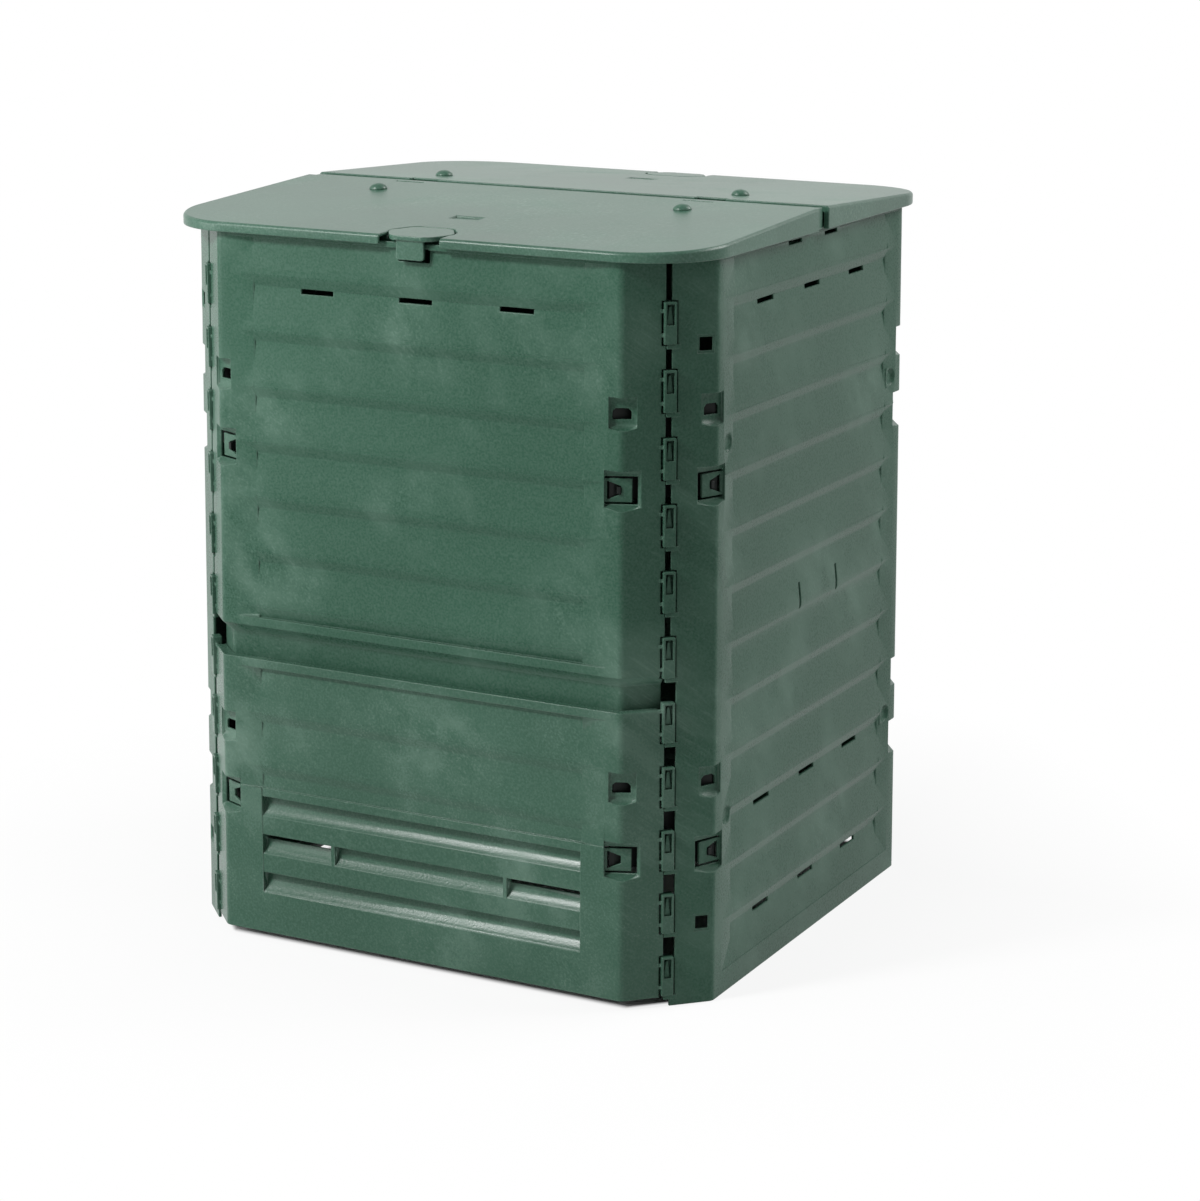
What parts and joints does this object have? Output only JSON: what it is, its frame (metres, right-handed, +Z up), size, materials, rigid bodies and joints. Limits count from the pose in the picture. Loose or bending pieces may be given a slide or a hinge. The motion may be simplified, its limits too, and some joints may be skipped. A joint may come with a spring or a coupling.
{
  "type": "compost bin",
  "caption": "Square garden compost bin of plug-together slatted plastic walls with chamfered corners, lift-up removal doors and a hinged two-part lid with latches.",
  "frame": {"origin": "on the ground under the middle of the bin", "axes": "+Z up, -Y towards the front face, +X to the right as seen from the front"},
  "size_m": [0.8, 0.8, 1.0168],
  "materials": {
    "wall_plastic": "satin, lightly scuffed",
    "lid_plastic": "satin, lightly scuffed",
    "pins": "satin"
  },
  "bodies": {
    "bin": {"front_upper_panel": "wall_plastic", "rear_upper_panel": "wall_plastic", "left_panel": "wall_plastic", "right_panel": "wall_plastic", "lid_bridge": "lid_plastic", "front_hinge_pins": "pins", "rear_hinge_pins": "pins", "front_right_stay_upper": "wall_plastic", "front_left_stay_upper": "wall_plastic", "rear_left_stay_upper": "wall_plastic", "rear_right_stay_upper": "wall_plastic", "front_right_stay_lower": "wall_plastic", "front_left_stay_lower": "wall_plastic", "rear_left_stay_lower": "wall_plastic", "rear_right_stay_lower": "wall_plastic"},
    "front_lid_half": {"lid_front": "lid_plastic", "front_lid_buffers": "lid_plastic", "front_latch_pin": "pins"},
    "front_latch_lever": {"front_latch": "lid_plastic"},
    "front_removal_door": {"front_door": "wall_plastic"},
    "rear_lid_half": {"lid_rear": "lid_plastic", "rear_lid_buffers": "lid_plastic", "rear_latch_pin": "pins"},
    "rear_latch_lever": {"rear_latch": "lid_plastic"},
    "rear_removal_door": {"rear_door": "wall_plastic"}
  },
  "joints": [
    {"name": "front_lid_hinge", "type": "hinge", "parent": "bin", "child": "front_lid_half", "pos_m": [0, -0.026, 1.00013], "axis": [-1, 0, 0], "range_deg": [0, 92]},
    {"name": "front_latch_pivot", "type": "hinge", "parent": "front_lid_half", "child": "front_latch_lever", "pos_m": [0, -0.344, 0.9855], "axis": [-1, 0, 0], "range_deg": [0, 15]},
    {"name": "front_door_lift", "type": "slide", "parent": "bin", "child": "front_removal_door", "axis": [0, 0, 1], "range_m": [0, 0.025]},
    {"name": "rear_lid_hinge", "type": "hinge", "parent": "bin", "child": "rear_lid_half", "pos_m": [0, 0.026, 1.00013], "axis": [1, 0, 0], "range_deg": [0, 92]},
    {"name": "rear_latch_pivot", "type": "hinge", "parent": "rear_lid_half", "child": "rear_latch_lever", "pos_m": [0, 0.344, 0.9855], "axis": [1, 0, 0], "range_deg": [0, 15]},
    {"name": "rear_door_lift", "type": "slide", "parent": "bin", "child": "rear_removal_door", "axis": [0, 0, 1], "range_m": [0, 0.025]}
  ]
}
